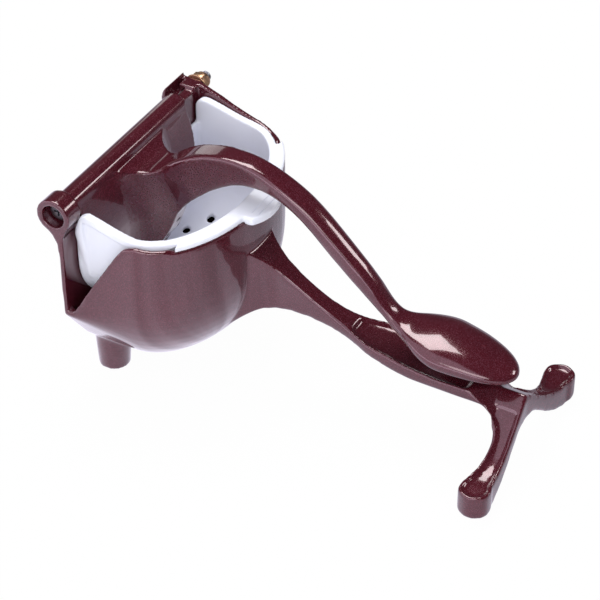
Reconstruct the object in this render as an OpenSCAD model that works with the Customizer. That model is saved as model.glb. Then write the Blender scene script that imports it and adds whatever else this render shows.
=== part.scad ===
// Hinged lemon squeezer for the worktop. A cast stand carries a strainer cup, and a
// cast lever swings a press plate down through the cup on one long hinge screw.
// Millimetres, +Z up. The stand rests on Z = 0, and the origin is under the middle.

/* [Overall] */
// Length from the back of the hinge knuckle to the far side of the rear pads
overall_l = 172; // [168:0.2:180]
// Height of the hinge axis above the table
hinge_h = 77; // [76:0.5:79]
// Outer width of the cup
cup_w = 92; // [90:1:96]
// Distance from the hinge axis to the front of the cup wall
cup_reach = 55; // [54:0.5:58]

/* [Cup] */
// Thickness of the cup wall
wall = 2.4; // [2:0.1:3]
// Where the straight sides of the cup end, from the hinge axis
side_end = 26.5; // [24:0.5:29]
// Outer face of the wall behind the strainer, from the hinge axis
back_wall_x = 1.6; // [1.2:0.1:1.8]
// Height of the outer underside of the cup above the table
cup_bottom = 3.6; // [3:0.2:5]
// Height at which the cup starts to curve under
cup_turn = 46; // [42:1:50]
// Height of the cup's rim at its front
rim_h = 69.4; // [68.6:0.2:69.8]
// Height of the cup wall along its sides
side_h = 70.4; // [69.4:0.2:71]
// Height of the cup wall where it meets the hinge
horn_h = 81.2; // [80.6:0.2:82]
// How far the spout's lip stands out from the side of the cup
spout_out = 3.4; // [2:0.1:4]
// Height of the bottom of the pouring notch
notch_h = 35; // [33:0.5:40]
// Front foot spacing, across the cup
front_foot_w = 54; // [48:1:60]
// Front foot position, from the hinge axis
front_foot_x = 7.2; // [7:0.2:10]
// Radius of a front foot where it stands
foot_r = 5.9; // [5:0.1:6.2]
// Radius of a front foot where it meets the cup
foot_top_r = 7.4; // [6.6:0.1:7.8]

/* [Arm and rear foot] */
// Half the width of the arm at its waist
arm_waist = 3.9; // [3.4:0.1:5]
// Half the width of the arm under the palm rest
arm_half_w = 9.6; // [8.5:0.1:11]
// Depth of the hollow along the top of the arm
hollow_d = 1.8; // [1:0.1:2.4]
// Width of the raised border round the hollows
border_w = 1.4; // [1.2:0.1:2.2]
// Spacing of the rear pads, across the stand
pad_w = 70.4; // [66:0.2:76]
// Radius of a rear pad to the corners of its six sides
pad_r = 6.6; // [6:0.1:7]
// Height of a rear pad
pad_h = 10; // [8:0.5:12]
// Depth of the panels in the tops of the rear legs
panel_d = 1.5; // [0.6:0.1:1.6]

/* [Hinge] */
// Outer radius of the near knuckle
near_knuckle_r = 6.7; // [6.2:0.1:7.2]
// Outer radius of the far knuckle
far_knuckle_r = 6.9; // [6.6:0.1:7.4]
// Length of the near knuckle
near_knuckle_l = 8; // [7:0.5:9]
// Length of the far knuckle
far_knuckle_l = 13.6; // [13:0.1:14.2]
// How far the near knuckle stands out from the cup's side
near_knuckle_out = 3.5; // [3.4:0.1:5]
// How far the far knuckle stands out from the cup's side
far_knuckle_out = 1; // [0.5:0.1:2]
// Thread diameter of the hinge screw
screw_d = 4; // [4:0.5:5]
// Radius of the screw's head
head_r = 3.9; // [3.7:0.1:4.1]
// Thickness of the screw's head
head_t = 2; // [2:0.1:3]
// Depth of the counterbore that hides the head
cbore_d = 6; // [4:0.1:6]
// Radial room round the screw where it passes through the castings
bore_gap = 0.06; // [0.03:0.01:0.1]
// Radial room round the head in its counterbore
head_gap = 0.5; // [0.3:0.1:0.8]
// Side gap between the lever's barrel and each knuckle
side_gap = 0.3; // [0.2:0.05:0.5]
// How far the screw's tip stands out of the nut
tip_out = 2.7; // [1.5:0.1:4]

/* [Nut and washer] */
// Width of the nut across its flats
nut_af = 7; // [7:0.5:8]
// Height of the nut's hexagon
nut_hex_h = 3.2; // [2.8:0.1:4]
// Height of the round collar that holds the locking ring
nut_collar_h = 1.8; // [1.4:0.1:2.4]
// Thickness of the locking ring
insert_t = 1.4; // [1:0.1:1.4]
// Outer radius of the washer
washer_r = 4.5; // [4.3:0.1:5]
// Thickness of the washer
washer_t = 0.8; // [0.5:0.1:1]

/* [Lever] */
// Radius of the lever's hinge barrel
barrel_r = 4.6; // [4.4:0.1:5]
// Height of the top of the handle's arch above the hinge axis
arch_rise = 12; // [10:0.5:14]
// Width of the handle along its straight run
handle_w = 10.6; // [9.6:0.2:12]
// Half the width of the handle at the top of its arch
arch_half_w = 4.7; // [4:0.1:5.5]
// Rear face of the press plate, from the hinge axis
plate_x = 7.2; // [7:0.1:8]
// Thickness of the press plate
plate_t = 3.2; // [2.8:0.1:4]
// How far the press plate reaches below the hinge axis
plate_drop = 44; // [40:0.5:45]
// Half the width of the web where it meets the strainer's middle
web_half_w = 3.2; // [3:0.1:4]
// Half the width of the press plate at the hinge
plate_half_w = 32.5; // [30:0.5:32.5]
// Length of the palm rest
palm_l = 46; // [42:1:50]
// Half the width of the palm rest
palm_half_w = 13.8; // [12:0.2:15]
// Half the thickness of the palm rest
palm_half_t = 5.6; // [5:0.1:6.2]

/* [Strainer] */
// Wall thickness of the strainer
strainer_wall = 1.6; // [1.2:0.1:2]
// Width of the strainer's rim
strainer_rim_w = 3.2; // [2.6:0.1:3.6]
// Thickness of the strainer's rim
strainer_rim_t = 2.2; // [2:0.1:2.4]
// Room between the strainer and the cup all round
strainer_gap = 0.3; // [0.2:0.05:0.5]
// Height of the strainer's floor above the table, inside
strainer_floor = 28; // [26:0.5:29]
// Height at which the strainer starts to curve under
strainer_turn = 56; // [52:1:60]
// Height of the strainer's low back wall
strainer_back_h = 66.5; // [65:0.5:68]
// How far the front tab stands out past the cup
tab_out = 6; // [4:0.2:7]
// Half the width of the front tab
tab_half_w = 10.5; // [8:0.5:12]
// How far the front tab hangs below the strainer's rim
tab_drop = 1; // [0.6:0.1:2]
// Radius of a drain hole
drain_r = 1.5; // [1.2:0.1:1.8]
// Spacing of the drain holes
drain_pitch = 6.8; // [6.4:0.2:7.2]

/* [Hidden] */

$fn = 64;
PAINT = [0.36, 0.10, 0.13];
e = 0.01;                               // overlap that keeps cuts clean

// Places along the hinge, measured from the middle plane of the cup
near_face = -(cup_w / 2 + near_knuckle_out);
near_inner = near_face + near_knuckle_l;
far_face = cup_w / 2 + far_knuckle_out;
far_inner = far_face - far_knuckle_l;
head_seat = near_face + cbore_d;
nut_start = far_face + washer_t;
nut_h = nut_hex_h + nut_collar_h;
screw_tip = nut_start + nut_h + tip_out;
screw_r = screw_d / 2;
trough_l = far_knuckle_l * 0.53;        // open part of the far knuckle
block_from = far_inner + trough_l;      // near face of its block
block_front = 1.6;                      // front face of the block, from the hinge axis
block_crown = 3.4;                      // top of the block, above the hinge axis

// The origin is the middle of the outline on the table
hinge_x = -overall_l / 2 + far_knuckle_r;
middle_y = -(near_face + screw_tip) / 2;
pad_x = overall_l - far_knuckle_r - pad_r * cos(30);

// Inner face of the back wall, and the strainer's outline inside it
back_inner = back_wall_x + wall - 0.8;
strainer_back = back_inner + strainer_gap;
strainer_front = cup_reach - wall - 2 * strainer_gap - strainer_rim_w;
strainer_half = cup_w / 2 - wall - strainer_gap - strainer_rim_w + strainer_wall;
leg_top = pad_h + 16;                   // top of the rear foot over its middle
leg_from = pad_x - 8;                   // where the arm gives way to the rear legs
leg_shelf_t = 7.2;                      // depth of the rear foot behind its front rib
leg_t = 11.1;                           // depth of the rear foot over its middle
shelf_x = cup_reach - 12;               // where the strainer's rim starts to lie over the cup
palm_tip = 112 + palm_l;                // end of the palm rest
strainer_corner = 1;                    // how much is taken off the strainer's back corners
flare_w = 20;                           // half width where the web starts to leave the plate
bowl_power = 2.4;                       // 2 makes the bowl's section an oval, more is fuller

// Places along the object are written for the standard lengths, and these functions move
// them with the front of the cup and the rear pads
std_reach = 55;
std_pad = 159.384;
function station(x) = x <= std_reach ? x * cup_reach / std_reach
    : cup_reach + (x - std_reach) * (pad_x - cup_reach) / (std_pad - std_reach);
function stations(points) = [for (p = points) [station(p.x), p.y]];

// Moves a shape built about the hinge axis to its place over the origin
module placed() { translate([hinge_x, middle_y, 0]) children(); }

// A cylinder along the hinge axis from y = from to y = to
module along_hinge(r, from, to) {
    translate([0, from, hinge_h]) rotate([-90, 0, 0]) cylinder(r = r, h = to - from);
}

// A side-on outline in X and Z, made thick along Y
module side_on(from, to) {
    translate([0, to, 0]) rotate([90, 0, 0]) linear_extrude(to - from) children();
}

// Rounds the corners of a flat outline
module rounded(r) { offset(r) offset(-2 * r) offset(r) children(); }

// Points of a smooth curve through control points a, b, c, d
function bezier(a, b, c, d, steps = 8) = [for (i = [0 : steps])
    let (t = i / steps, s = 1 - t)
    s * s * s * a + 3 * s * s * t * b + 3 * s * t * t * c + t * t * t * d];

// Plan outline of the cup family: straight sides, then half an oval to the front
function cup_plan(back, end, front, half, steps = 40, corner = e) = concat(
    [[back, -half + corner], [back + corner, -half]],
    [for (i = [0 : steps]) let (a = -90 + 180 * i / steps)
        [end + (front - end) * cos(a), half * sin(a)]],
    [[back + corner, half], [back, half - corner]]);

// A bowl whose outline shrinks towards its bottom, a little fuller than an oval
module bowl(back, end, front, half, top, turn, bottom, layers = 16, corner = e) {
    least = 0.3;
    function dip(k) = pow(1 - pow(k, bowl_power), 1 / bowl_power);
    for (i = [0 : layers]) {
        k = sin(90 - i * (90 - asin(least)) / layers);
        z = turn - (turn - bottom) * dip(k) / dip(least);
        translate([back, 0, z]) scale([k, pow(k, 1.3), 1]) linear_extrude(e)
            polygon(cup_plan(0, end - back, front - back, half, corner = corner));
    }
    translate([0, 0, turn]) linear_extrude(top - turn)
        polygon(cup_plan(back, end, front, half, corner = corner));
}

// Height of the cup wall from the hinge to the front, seen from the side
function saddle(lift = 0) = concat(
    bezier([0, horn_h + lift], [6, horn_h - 1 + lift], [16, side_h + 5.2 + lift],
        [27, side_h + 1.6 + lift], 10),
    bezier([27.5, side_h + 1.5 + lift], [31, side_h + 0.9 + lift], [34, side_h + lift],
        [37, side_h + lift], 5));

// ------------------------------------------------------------------ stand

module cup_outside() {
    hull() {
        bowl(back_wall_x, side_end, cup_reach, cup_w / 2, horn_h, cup_turn, cup_bottom);
        translate([back_wall_x, -cup_w / 2 - spout_out, notch_h])
            cube([wall, wall, horn_h - notch_h]);
    }
}

module cup_inside() {
    hull() {
        bowl(back_inner, side_end, cup_reach - wall, cup_w / 2 - wall, horn_h + 5, cup_turn,
            cup_bottom + wall);
        translate([back_inner, -cup_w / 2 - spout_out + wall, notch_h + wall])
            cube([wall, wall, horn_h - notch_h]);
    }
}

// What stays of the cup: below the saddle line, and below the front rim
module cup_top_line() {
    side_on(-cup_w, cup_w) polygon(concat([[-20, -1], [-20, horn_h]], saddle(),
        [[shelf_x - 3, side_h], [shelf_x - 1.4, rim_h], [cup_reach + 5, rim_h],
        [cup_reach + 5, -1]]));
}

// The pouring notch in the near side, beside the back wall
module pouring_notch() {
    top_x = 26;
    side_on(-cup_w, -cup_w / 2 + wall + 2) polygon(concat(
        [[back_inner, horn_h + 9], [back_inner, notch_h + wall]],
        bezier([back_inner + 0.3, notch_h + wall - 0.5], [back_inner + 0.9, notch_h + wall - 1.1],
            [back_inner + 1.9, notch_h + wall - 1.1], [back_inner + 2.9, notch_h + wall + 0.4], 5),
        bezier([top_x - 3, side_h - 4.5], [top_x - 1, side_h - 1.5], [top_x, side_h + 0.6],
            [top_x + 4, side_h + 0.6], 6),
        [[top_x + 4, horn_h + 9]]));
}

// Room for the lever's barrel over the back wall
module barrel_room() {
    translate([-20, near_inner, hinge_h - barrel_r - 2.4])
        cube([20 + back_inner + e, far_inner - near_inner, 40]);
}

module near_knuckle() {
    along_hinge(near_knuckle_r, near_face, near_inner);
    side_on(near_face, near_inner) polygon([
        [-near_knuckle_r * 0.8, hinge_h - near_knuckle_r * 0.6], [back_wall_x - 2.6, hinge_h - 7.6],
        [back_wall_x - 0.7, hinge_h - 11], [back_wall_x, hinge_h - 17], [back_inner, hinge_h - 17],
        [back_inner, hinge_h - 9], [back_inner + 1, hinge_h - 6.6],
        [near_knuckle_r * 0.76, hinge_h - near_knuckle_r * 0.65], [0, hinge_h]]);
}

// The far knuckle is a trough beside the barrel, then a block with a flat crown. A hook
// runs along the back of both, with a narrow slot between it and the block
module far_knuckle() {
    intersection() {
        along_hinge(far_knuckle_r, far_inner, far_face);
        translate([-20, far_inner - 1, 0]) cube([20 + back_inner, far_knuckle_l + 2, 200]);
    }
    side_on(far_inner, far_face) polygon([
        [-far_knuckle_r * 0.8, hinge_h - 4], [back_wall_x - 2.4, hinge_h - 10],
        [back_wall_x - 0.4, hinge_h - 15], [back_wall_x, hinge_h - 24],
        [back_inner, hinge_h - 24], [back_inner, hinge_h - 3], [0, hinge_h]]);
    horn_root();
}

// Thick post where the far horn of the cup wall joins the knuckle
module horn_root(room = 0) {
    side_on(block_from - room, cup_w / 2) polygon([
        [0, hinge_h - 20 - room], [back_inner + room, hinge_h - 20 - room],
        [back_inner + room, hinge_h - 6], [block_front + 0.4 + room, hinge_h - 1],
        [block_front + room, hinge_h + block_crown + room], [0, hinge_h + block_crown + room]]);
}

// What is taken off the far knuckle: the trough, open down to the screw, the slot behind the
// block, and everything above the block's crown
module knuckle_slot() {
    slot_x = -far_knuckle_r + 2;
    translate([slot_x, far_inner - e, hinge_h + screw_r + 0.3])
        cube([back_inner - slot_x + e, trough_l, far_knuckle_r + 3]);
    translate([slot_x, far_inner - e, hinge_h - 0.4])
        cube([-slot_x - 0.6, trough_l, far_knuckle_r + 3]);
    translate([slot_x, far_inner + trough_l - 2 * e, hinge_h - 0.4])
        cube([1.4, far_knuckle_l - trough_l - 1.8, far_knuckle_r + 3]);
    translate([slot_x, far_inner - e, hinge_h + block_crown])
        cube([4.6 - slot_x, far_knuckle_l + 2 * e, far_knuckle_r]);
}

module front_feet() {
    for (side = [-1, 1]) translate([front_foot_x, side * front_foot_w / 2, 0])
        cylinder(r1 = foot_r, r2 = foot_top_r, h = 22);
}

// Plan of the arm: spread at the cup, a waist, then wide under the palm rest
function arm_side() = stations(concat(
    bezier([45, 13.4], [53.6, 12], [55.6, 5.8], [64, arm_waist + 0.5], 7),
    bezier([70, arm_waist], [82, arm_waist - 0.6], [90, arm_waist], [98, 6.8], 6),
    bezier([102, 8.2], [108, arm_half_w], [122, arm_half_w], [135, arm_half_w], 6)));

// Plan of one rear leg's inner edge, from the arm to the pad
function leg_inner() = concat(
    bezier([pad_x - 19, arm_half_w], [pad_x - 11, arm_half_w - 0.6], [pad_x - 4.4, arm_half_w - 0.6],
        [pad_x - 3.4, 15.5], 6),
    bezier([pad_x - 3.2, 19], [pad_x - 3.4, 24], [pad_x - 4.4, pad_w / 2 - 6.4],
        [pad_x - 5.3, pad_w / 2 - 3.4], 5));

// Plan of one rear leg's outer edge, from the pad to the middle
function leg_outer() = bezier([pad_x + pad_r * 0.74, pad_w / 2 - 3.4], [pad_x + 4.2, 20],
    [pad_x + 3.4, 12], [pad_x + 2.6, 0], 6);

function mirrored_y(points) = [for (p = points) if (p.x > 0) [-p.x, p.y]];
function mirrored(points) = [for (i = [len(points) - 1 : -1 : 0]) [points[i].x, -points[i].y]];

module arm_plan() {
    half_plan = concat(arm_side(), leg_inner(), [[pad_x, pad_w / 2]], leg_outer());
    polygon(concat(half_plan, mirrored(half_plan)));
    for (side = [-1, 1]) translate([pad_x, side * pad_w / 2])
        offset(4.2) rotate(30) circle(r = pad_r - 4.2 / cos(30), $fn = 6);
}

// Side view of the arm and rear foot
function arm_top() = stations(concat(
    bezier([46, 59], [50, 58], [55, 54.2], [62, 49.2], 6),
    bezier([68, 45.4], [80, 37.6], [88, 33.4], [100, 31.4], 8),
    bezier([110, 30.2], [120, 28], [132, 27.2], [142, 27.6], 6)));

module arm_side_view() {
    polygon(concat(arm_top(), [[pad_x - 9, leg_top + 1], [pad_x + pad_r + 1, leg_top]],
        [[pad_x + pad_r + 1, -1], [leg_from, -1]],
        stations(concat(bezier([151.2, 18.8], [144, 20.2], [124, 20.6], [108, 25], 8),
            bezier([100, 26.6], [86, 29], [74, 31], [64, 30], 6),
            bezier([59, 29.4], [55, 27.8], [51, 24.8], [48, 21.8], 5), [[45, 32]]))));
}

// Front view of the rear foot: two legs coming down from the middle to the pads
function leg_line(lift, half) = concat([[0, leg_top + lift]],
    bezier([4, leg_top - 2.5 + lift], [12, leg_top - 8 + lift], [half - 17, pad_h + 2.6 + lift],
        [half - 9, pad_h + 0.4 + lift], 7), [[half - 5, pad_h + lift], [half + 10, pad_h + lift]]);

function leg_arch(half) = concat([[0, leg_top - leg_t]],
    bezier([5, leg_top - leg_t], [12, leg_top - leg_t - 3], [half - 19, 4.5],
        [half - pad_r + 0.4, 0], 7), [[half + 10, 0]]);

// The rib along the back of a leg is deep, and the rest of the leg is a thin shelf
module leg_front_view(shelf = false) {
    half = cup_w / 2;
    line = leg_line(0, pad_w / 2);
    under = shelf ? concat([[0, leg_top - leg_shelf_t]], bezier([4, leg_top - leg_shelf_t],
        [9, leg_top - leg_shelf_t + 0.6], [11, leg_top - 10.4], [15, 11.6], 6),
        bezier([18, 9.6], [22, 7.4], [25, 4], [28, 0], 4), [[half, 0]])
        : leg_arch(pad_w / 2);
    edge = concat(line, [for (i = [len(under) - 1 : -1 : 1]) under[i]]);
    for (side = [0, 1]) mirror([side, 0]) polygon(concat([[-e, leg_top]], edge, [[-e, under[0].y]]));
}

module front_on(from, to) {
    translate([from, 0, 0]) rotate([90, 0, 90]) linear_extrude(to - from) children();
}

module arm() {
    roll = 13;                          // length over which the arm's top rolls into the legs
    brow_w = 12;
    brow = [for (p = leg_line(0, pad_w / 2)) if (p.x < brow_w) p];
    intersection() {
        linear_extrude(60) arm_plan();
        side_on(-cup_w, cup_w) arm_side_view();
        union() {
            translate([0, -cup_w, 0]) cube([leg_from - roll + e, 2 * cup_w, 60]);
            hull() {
                front_on(leg_from - roll, leg_from - roll + e)
                    polygon([[-13, leg_top - leg_shelf_t], [13, leg_top - leg_shelf_t],
                        [13, leg_top + 3], [-13, leg_top + 3]]);
                front_on(leg_from, leg_from + e)
                    polygon(concat([[-brow_w, leg_top - leg_shelf_t], [brow_w, leg_top - leg_shelf_t]],
                        [for (i = [len(brow) - 1 : -1 : 0]) brow[i]], mirrored_y(brow)));
            }
            front_on(leg_from - e, pad_x - 1) leg_front_view(shelf = true);
            front_on(pad_x - 1 - e, pad_x + 20) leg_front_view();
        }
    }
}

// What is taken off the lower edges of the arm, so that its sides are shallow
module arm_chamfers() {
    far_x = leg_from - 3.4;
    for (side = [0, 1]) mirror([0, side, 0]) {
        front_on(station(104), far_x)
            polygon([[5, 5], [5, 19.6], [arm_half_w, 23.6], [arm_half_w + 1, 24.4], [arm_half_w + 1, 5]]);
        hull() {
            front_on(far_x - e, far_x)
                polygon([[5, 5], [5, 19.6], [arm_half_w, 23.6], [arm_half_w + 1, 24.4], [arm_half_w + 1, 5]]);
            front_on(leg_from + 3.4, leg_from + 3.4 + e)
                polygon([[5, 5], [5, 15], [arm_half_w, 16.4], [arm_half_w + 1, 16], [arm_half_w + 1, 5]]);
        }
    }
}

// Long hollow in the top of the arm, under the palm rest
module arm_hollow() {
    intersection() {
        linear_extrude(60) offset(1) offset(-border_w - 1) intersection() {
            arm_plan();
            translate([station(93), -arm_half_w - 2])
                square([leg_from - 8 - station(93), 2 * arm_half_w + 4]);
        }
        side_on(-cup_w, cup_w) translate([0, -hollow_d])
            polygon(concat(arm_top(), [[pad_x - 9, leg_top + 1], [pad_x, 60], [station(46), 60]]));
    }
}

// Shallow panel in the top of each rear leg
module leg_panels() {
    half = pad_w / 2;
    above = concat(leg_line(-panel_d, half), [[half + 10, 60], [0, 60]]);
    for (side = [0, 1]) mirror([0, side, 0]) intersection() {
        linear_extrude(60) offset(0.8) offset(-border_w - 0.8) intersection() {
            arm_plan();
            translate([pad_x - 8.5, 4]) square([30, half + 10]);
        }
        front_on(pad_x - 20, pad_x + 20) polygon(above);
    }
}

module stand() {
    color(PAINT) placed() difference() {
        union() {
            difference() {
                union() {
                    intersection() {
                        cup_outside();
                        cup_top_line();
                    }
                    front_feet();
                    arm();
                }
                cup_inside();
                pouring_notch();
                barrel_room();
            }
            near_knuckle();
            far_knuckle();
        }
        arm_hollow();
        arm_chamfers();
        leg_panels();
        knuckle_slot();
        along_hinge(screw_r + bore_gap, near_face - 1, far_face + 1);
        along_hinge(head_r + head_gap, near_face - 1, head_seat);
    }
}

// ------------------------------------------------------------------ lever

arch_top = hinge_h + arch_rise;
plate_face = plate_x + plate_t;         // front of the press plate
lean_depth = 21;                        // over this depth the plate leans out from the barrel
lean_rise = barrel_r * 0.72;            // its front starts this high on the barrel's shoulder
lean_x = barrel_r * 0.7;                // and this far forward

// Front of the press plate at a depth below the hinge axis
function face_at(depth) =
    plate_face - (plate_face - lean_x)
    * pow(max(0, 1 - (depth + lean_rise) / (lean_depth + lean_rise)), 1.5);

// Half the width of the press plate at a depth below the hinge axis
function plate_half(depth) = plate_half_w * sqrt(max(0, 1 - pow(depth / plate_drop, 2)));

function handle_top() = stations(concat(
    [[0, hinge_h + barrel_r * 0.5], [2.6, hinge_h + 1.2]],
    bezier([5, hinge_h], [9, hinge_h - 2.6], [12, hinge_h - 3], [16, hinge_h - 1], 5),
    bezier([20, hinge_h + 2.6], [28, arch_top - 3], [37, arch_top], [46, arch_top], 8),
    bezier([48, arch_top - 0.1], [57, arch_top - 0.6], [64, hinge_h + 7], [72, hinge_h + 2.6], 6),
    bezier([75, hinge_h + 0.8], [82, hinge_h - 4], [90, hinge_h - 12.6], [98, hinge_h - 19.8], 5),
    bezier([103, hinge_h - 25.2], [107.5, hinge_h - 31.4], [110.4, hinge_h - 34.8], [116, hinge_h - 35.2], 6)));

// Underside of the handle from the palm rest back to the middle of the web
function handle_under() = stations(concat(
    [[117, hinge_h - 40.4], [111, hinge_h - 39], [99, hinge_h - 28.4], [86, hinge_h - 16]],
    bezier([80, hinge_h - 9.8], [72, hinge_h - 1.6], [66, hinge_h + 1.8], [58, hinge_h + 2.8], 6),
    bezier([53, hinge_h + 2.8], [44, hinge_h + 2.4], [29, hinge_h - 8], [22, hinge_h - 20], 8)));

// Front edge of the web, down to the foot of the plate
function web_front() =
    bezier([20, hinge_h - 25.4], [17.4, hinge_h - 32], [14, hinge_h - 37], [plate_face, hinge_h - 40], 5);

// Half the width of the handle and palm rest, from the arch to the tip
function grip_side() = stations(concat([[38, arch_half_w]],
    bezier([46, arch_half_w], [57, arch_half_w], [62, handle_w / 2 - 0.1], [72, handle_w / 2], 6),
    [[82, handle_w / 2 - 0.1], [92, handle_w / 2 - 0.4], [100, handle_w / 2 - 0.9]],
    bezier([107, handle_w / 2 - 1.1], [114.6, handle_w / 2 - 1.1], [117, palm_half_w - 3],
        [128, palm_half_w - 0.2], 9),
    bezier([131, palm_half_w], [141, palm_half_w - 1.2], [palm_tip - 1.4, palm_half_w - 3],
        [palm_tip, 1], 9)));

// Top of the palm rest, and its underside, from the neck to the tip
function palm_top() = stations(concat(
    bezier([119, hinge_h - 35], [126, hinge_h - 34], [133, hinge_h - 34.4],
        [141, hinge_h - 36.2], 6),
    bezier([145, hinge_h - 37.4], [150, hinge_h - 39], [palm_tip - 1, hinge_h - 41.4],
        [palm_tip, hinge_h - 43.6], 7)));
function palm_under() = let (deep = hinge_h - 35.4 - 2 * palm_half_t) stations(concat(
    bezier([119, hinge_h - 41.2], [124, deep + 1.4], [130, deep], [140, deep], 6),
    bezier([146, deep], [151, deep], [palm_tip - 1, deep + 0.2], [palm_tip, deep + 1.6], 6)));

// Handle and palm rest in one loft. Its sections stand upright: boxy at the arch, crowned
// along the handle, and flat ovals with their widest line high up in the palm rest
module grip() {
    places = concat([for (x = [38 : 4 : 98]) x], [for (x = [101 : 2 : palm_tip - 4]) x],
        [palm_tip - 2.6, palm_tip - 1.4, palm_tip - 0.6, palm_tip]);
    top = concat(handle_top(), palm_top());
    under = concat([for (p = handle_under()) if (p.x < station(118)) p], palm_under());
    function crown(x) = lookup(x, [[38, 24], [46, 12], [56, 5], [74, 2.5], [108, 2.3], [122, 2]]);
    function keel(x) = lookup(x, [[38, 24], [46, 12], [60, 8], [108, 6], [118, 2.6], [126, 2.1]]);
    function crest(x) = lookup(x, [[38, 0.5], [104, 0.5], [114, 0.58], [124, 0.54], [134, 0.5]]);
    // the crown stands higher than flat sides would, so that its shoulders keep their height
    function rise(x) = lookup(x, [[46, 0], [56, 0.5], [74, 1.5], [102, 1.4], [111, 0.3], [118, 0]]);
    function around(x, z0, z1, w) = [for (i = [0 : 31]) let (a = 360 * (i + 0.5) / 32,
        n = sin(a) > 0 ? crown(x) : keel(x), z = z0 + crest(x) * (z1 - z0),
        h = sin(a) > 0 ? z1 - z : z - z0)
        [w * sign(cos(a)) * pow(abs(cos(a)), 2 / n), z + h * sign(sin(a)) * pow(abs(sin(a)), 2 / n)]];
    rings = [for (x = places) let (s = station(x))
        [for (p = around(x, lookup(s, under), lookup(s, top) + rise(x), lookup(s, grip_side())))
            [s, p.x, p.y]]];
    n = 32;
    last = len(rings) - 1;
    polyhedron(points = [for (ring = rings) each ring], faces = concat(
        [[for (i = [0 : n - 1]) i]], [[for (i = [n - 1 : -1 : 0]) last * n + i]],
        [for (k = [0 : last - 1]) for (i = [0 : n - 1]) let (a = k * n + i,
            b = k * n + (i + 1) % n) each [[a, a + n, b], [b, a + n, b + n]]]));
}

// Root of the handle and the web under it, built level by level. Each level sweeps out
// on both sides into the press plate, and the web gets narrower towards its foot
module web() {
    levels = 18;
    top = -arch_rise - 1;
    bottom = plate_drop - 3;
    function rib(depth) = web_half_w + 3.4 * pow(min(1, max(0, 1 - (depth - 2) / 24)), 1.5);
    function start(depth) = min(flare_w, plate_half(max(0, depth)) * 0.9);
    function edge(depth, x) = concat([[1, start(depth) - e]],
        bezier([x - 0.3, start(depth)], [x + 0.2, start(depth) * 0.58],
            [x + 3, rib(depth) + 2], [x + 13, rib(depth)], 9),
        [for (p = stations([[28, 5.8], [34, 5], [44, arch_half_w]])) [p.x, min(rib(depth), p.y)]]);
    rings = [for (i = [0 : levels]) let (depth = top + (bottom - top) * i / levels,
        half_ring = edge(depth, face_at(max(-lean_rise, depth))))
        [for (p = concat(half_ring, mirrored(half_ring))) [p.x, p.y, hinge_h - depth]]];
    n = len(rings[0]);
    intersection() {
        polyhedron(points = [for (ring = rings) each ring], faces = concat(
            [[for (i = [0 : n - 1]) i]], [[for (i = [n - 1 : -1 : 0]) levels * n + i]],
            [for (k = [0 : levels - 1]) for (i = [0 : n - 1]) let (a = k * n + i,
                b = k * n + (i + 1) % n) each [[a, a + n, b], [b, a + n, b + n]]]));
        side_on(-60, 60) polygon(concat([for (p = handle_top()) if (p.x < station(46)) p],
            [for (p = handle_under()) if (p.x < station(46)) p], web_front(),
            [[plate_x + 1, hinge_h - plate_drop + 3.2], [plate_x + 1, hinge_h - 14],
            [plate_x + 0.8, hinge_h - 8], [barrel_r + 0.4, hinge_h - barrel_r + 0.2],
            [2, hinge_h - 3]]));
    }
}

// Press plate: hangs from the barrel and is shaped like half an oval
module press_plate() {
    intersection() {
        side_on(-60, 60) polygon(concat(
            [[0, hinge_h - 2], [2.6, hinge_h - barrel_r + 0.6]],
            bezier([3.4, hinge_h - barrel_r], [plate_x - 1, hinge_h - barrel_r - 1.6],
                [plate_x, hinge_h - 8], [plate_x, hinge_h - 14], 5),
            [[plate_x, hinge_h - plate_drop], [plate_face, hinge_h - plate_drop]],
            [for (i = [9 : -1 : 0]) let (depth = -lean_rise + (lean_depth + lean_rise) * i / 9)
                [face_at(depth), hinge_h - depth]],
            [[0, hinge_h + lean_rise]]));
        // wider beside the near knuckle, where no strainer wall is in the way
        front_on(-1, 30) polygon(concat(
            [[plate_half_w, hinge_h + 5], [near_inner + 2, hinge_h + 5], [near_inner + 2, hinge_h - 3],
            [near_inner + 4, hinge_h - 7], [-plate_half_w * 0.955, hinge_h - 13]],
            [for (i = [6 : 28]) let (a = 180 + 180 * i / 28)
                [plate_half_w * cos(a), hinge_h + (plate_drop - 0.2) * sin(a)]]));
    }
}

module lever() {
    color(PAINT) placed() difference() {
        union() {
            along_hinge(barrel_r, near_inner + side_gap, far_inner - side_gap);
            grip();
            web();
            press_plate();
        }
        along_hinge(screw_r + bore_gap, near_face, far_face);
    }
}

// --------------------------------------------------------------- strainer

rim_half = strainer_half - strainer_wall + strainer_rim_w;
rim_front = strainer_front + strainer_rim_w;
rim_top = rim_h + strainer_rim_t + 0.2;   // top of the rim at the front

function strainer_saddle(lift = 0) = concat(
    bezier([strainer_back, 77.2 + lift], [13, 76.8 + lift], [18, 73.4 + lift], [28, 72.2 + lift], 8),
    bezier([30, 72 + lift], [34, rim_top + lift], [38, rim_top + lift], [42, rim_top + lift], 4));

module strainer_band(depth) {
    under = strainer_saddle(-depth);
    side_on(-60, 60) polygon(concat(strainer_saddle(), [[cup_reach + 9, rim_top]],
        [[cup_reach + 9, rim_top - strainer_rim_t], [41, rim_top - strainer_rim_t]],
        [for (i = [len(under) - 2 : -1 : 0]) under[i]]));
}

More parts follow.
